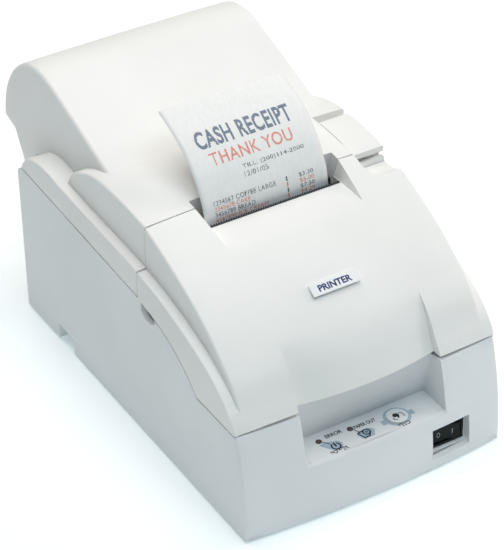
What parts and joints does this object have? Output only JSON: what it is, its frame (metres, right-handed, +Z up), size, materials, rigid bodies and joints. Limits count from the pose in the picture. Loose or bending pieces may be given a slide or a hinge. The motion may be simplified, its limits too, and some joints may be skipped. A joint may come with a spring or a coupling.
{
  "type": "receipt printer",
  "caption": "Desktop impact receipt printer with opening front and roll covers, control panel, paper slot with a printed receipt, print mechanism, roll bay and rear connectors.",
  "frame": {"origin": "middle of the footprint at the bottom of the rubber feet", "axes": "+X to the right seen from the front, +Y to the rear, +Z up; the control panel faces -Y"},
  "size_m": [0.16, 0.2906, 0.1707],
  "materials": {
    "cover_plastic": "fine satin texture, warm white",
    "case_plastic": "fine satin texture, cool white",
    "lever_plastic": "fine satin texture, warm white",
    "foot_rubber": "matt black",
    "steel": "zinc plated sheet",
    "shaft_steel": "ground",
    "blade_steel": "hardened, ground",
    "switch_black": "black, slightly glossy",
    "rocker_black": "black, slightly glossy",
    "badge": "plain blank plate",
    "button_plastic": "satin",
    "lens": "frosted clear lens",
    "circuit_board": "green solder mask",
    "component_black": "matt black",
    "panel_print": "printed overlay film",
    "motor_can": "drawn steel can",
    "gear_white": "natural acetal",
    "roller_rubber": "ground rubber",
    "roller_grey": "acetal",
    "carriage_black": "glass-filled",
    "head_alloy": "die cast with fins",
    "belt_rubber": "toothed belt",
    "cassette_plastic": "dark textured",
    "ribbon_fabric": "inked woven ribbon",
    "knob_plastic": "blue",
    "paper": "plain bond paper",
    "receipt_paper": "plain bond paper, printed",
    "core_card": "cardboard core",
    "holder_plastic": "grey",
    "spool_plastic": "dark grey",
    "platen_grey": "satin",
    "connector_metal": "tinned shell",
    "connector_black": "matt black"
  },
  "bodies": {
    "case": {"lower_case": "case_plastic", "rubber_feet": "foot_rubber", "hinge_pins": "shaft_steel", "power_switch_body": "switch_black", "panel_board": "circuit_board", "panel_components": "component_black", "status_lamp_lenses": "lens", "panel_label": "panel_print", "side_frames": "steel", "frame_screws": "steel", "carriage_rails": "shaft_steel", "platen": "platen_grey", "paper_feed_motor": "motor_can", "pinch_rod": "shaft_steel", "carriage_motor": "motor_can", "belt_brackets": "steel", "carriage_belt": "belt_rubber", "ribbon_shelf": "steel", "ribbon_cassette": "cassette_plastic", "ink_ribbon": "ribbon_fabric", "cutter_base": "steel", "fixed_blade": "blade_steel", "cutter_motor": "motor_can", "paper_web": "paper", "roll_holder": "holder_plastic", "take_up_brackets": "steel", "take_up_motor": "motor_can", "main_board": "circuit_board", "board_screws": "steel", "board_components": "component_black", "interface_board": "circuit_board", "interface_connector": "connector_metal", "power_socket": "connector_black", "drawer_socket": "connector_black"},
    "printer_cover": {"printer_cover": "cover_plastic", "tear_bar": "blade_steel", "badge_plate": "badge"},
    "roll_cover": {"roll_cover": "cover_plastic", "lever_shaft": "shaft_steel", "receipt": "receipt_paper"},
    "cover_lever": {"cover_lever": "lever_plastic"},
    "power_rocker": {"power_rocker": "rocker_black"},
    "feed_button": {"feed_button": "button_plastic"},
    "carriage": {"head_carriage": "carriage_black", "print_head": "head_alloy"},
    "drive_pulley": {"drive_pulley": "gear_white"},
    "idler_pulley": {"idler_pulley": "gear_white"},
    "feed_roller": {"feed_shaft": "shaft_steel", "feed_tyres": "roller_rubber", "feed_gear": "gear_white"},
    "idler_gear": {"idler_gear": "gear_white"},
    "feed_motor_pinion": {"feed_motor_pinion": "gear_white"},
    "pinch_rollers": {"pinch_rollers": "roller_grey"},
    "ribbon_knob": {"ribbon_knob": "knob_plastic"},
    "paper_roll": {"paper_roll": "paper", "roll_core": "core_card"},
    "take_up_spool": {"take_up_spool": "spool_plastic"},
    "take_up_pinion": {"take_up_pinion": "gear_white"},
    "moving_blade": {"moving_blade": "blade_steel"},
    "near_end_lever": {"near_end_lever": "gear_white"}
  },
  "joints": [
    {"name": "printer_cover_hinge", "type": "hinge", "parent": "case", "child": "printer_cover", "pos_m": [0, -0.1255, 0.042], "axis": [1, 0, 0], "range_deg": [0, 60]},
    {"name": "roll_cover_hinge", "type": "hinge", "parent": "case", "child": "roll_cover", "pos_m": [0, 0.1125, 0.0885], "axis": [-1, 0, 0], "range_deg": [0, 59]},
    {"name": "cover_lever_pull", "type": "hinge", "parent": "roll_cover", "child": "cover_lever", "pos_m": [0.065, -0.0018, 0.128], "axis": [-1, 0, 0], "range_deg": [0, 20], "stiffness_Nm_per_rad": 0.3},
    {"name": "power_rocker_tilt", "type": "hinge", "parent": "case", "child": "power_rocker", "pos_m": [0.046, -0.135, 0.0178], "axis": [0, 0, 1], "range_deg": [0, 12]},
    {"name": "feed_button_press", "type": "slide", "parent": "case", "child": "feed_button", "axis": [0, 0, -1], "range_m": [0, 0.0012], "stiffness_N_per_m": 300},
    {"name": "carriage_travel", "type": "slide", "parent": "case", "child": "carriage", "axis": [1, 0, 0], "range_m": [-0.031, 0.031]},
    {"name": "drive_pulley_spin", "type": "hinge", "parent": "case", "child": "drive_pulley", "pos_m": [-0.044, -0.084, 0.049], "axis": [0, 0, 1], "range_deg": [-380, 380]},
    {"name": "idler_pulley_spin", "type": "hinge", "parent": "case", "child": "idler_pulley", "pos_m": [0.05, -0.084, 0.049], "axis": [0, 0, 1], "range_deg": [-380, 380]},
    {"name": "feed_roller_spin", "type": "hinge", "parent": "case", "child": "feed_roller", "pos_m": [0, -0.0325, 0.05], "axis": [1, 0, 0], "continuous": true},
    {"name": "idler_gear_spin", "type": "hinge", "parent": "case", "child": "idler_gear", "pos_m": [0.0675, -0.0112, 0.04639], "axis": [1, 0, 0], "continuous": true},
    {"name": "feed_motor_spin", "type": "hinge", "parent": "case", "child": "feed_motor_pinion", "pos_m": [0.0675, 0.002, 0.036], "axis": [1, 0, 0], "continuous": true},
    {"name": "pinch_roller_spin", "type": "hinge", "parent": "case", "child": "pinch_rollers", "pos_m": [0, -0.04265, 0.05], "axis": [1, 0, 0], "continuous": true},
    {"name": "ribbon_knob_turn", "type": "hinge", "parent": "case", "child": "ribbon_knob", "pos_m": [-0.038, -0.095, 0.084], "axis": [0, 0, 1], "continuous": true},
    {"name": "paper_roll_spin", "type": "hinge", "parent": "case", "child": "paper_roll", "pos_m": [-0.0026, 0.055, 0.0638], "axis": [1, 0, 0], "continuous": true},
    {"name": "take_up_spin", "type": "hinge", "parent": "case", "child": "take_up_spool", "pos_m": [0, 0.104, 0.122], "axis": [1, 0, 0], "continuous": true},
    {"name": "take_up_pinion_spin", "type": "hinge", "parent": "case", "child": "take_up_pinion", "pos_m": [0.0485, 0.0904, 0.10845], "axis": [1, 0, 0], "continuous": true},
    {"name": "cutter_stroke", "type": "slide", "parent": "case", "child": "moving_blade", "axis": [0, -1, 0], "range_m": [0, 0.008]},
    {"name": "near_end_lever_swing", "type": "hinge", "parent": "case", "child": "near_end_lever", "pos_m": [-0.0455, 0.08, 0.044], "axis": [1, 0, 0], "range_deg": [0, 10], "stiffness_Nm_per_rad": 0.02}
  ],
  "couplings": [
    {"joint": "drive_pulley_spin", "follows": "carriage_travel", "rad_per_m": -208.33},
    {"joint": "idler_pulley_spin", "follows": "carriage_travel", "rad_per_m": -208.33},
    {"joint": "idler_gear_spin", "follows": "feed_roller_spin", "ratio": -0.8},
    {"joint": "feed_motor_spin", "follows": "feed_roller_spin", "ratio": 2},
    {"joint": "pinch_roller_spin", "follows": "feed_roller_spin", "ratio": -1.8},
    {"joint": "take_up_pinion_spin", "follows": "take_up_spin", "ratio": -3}
  ]
}
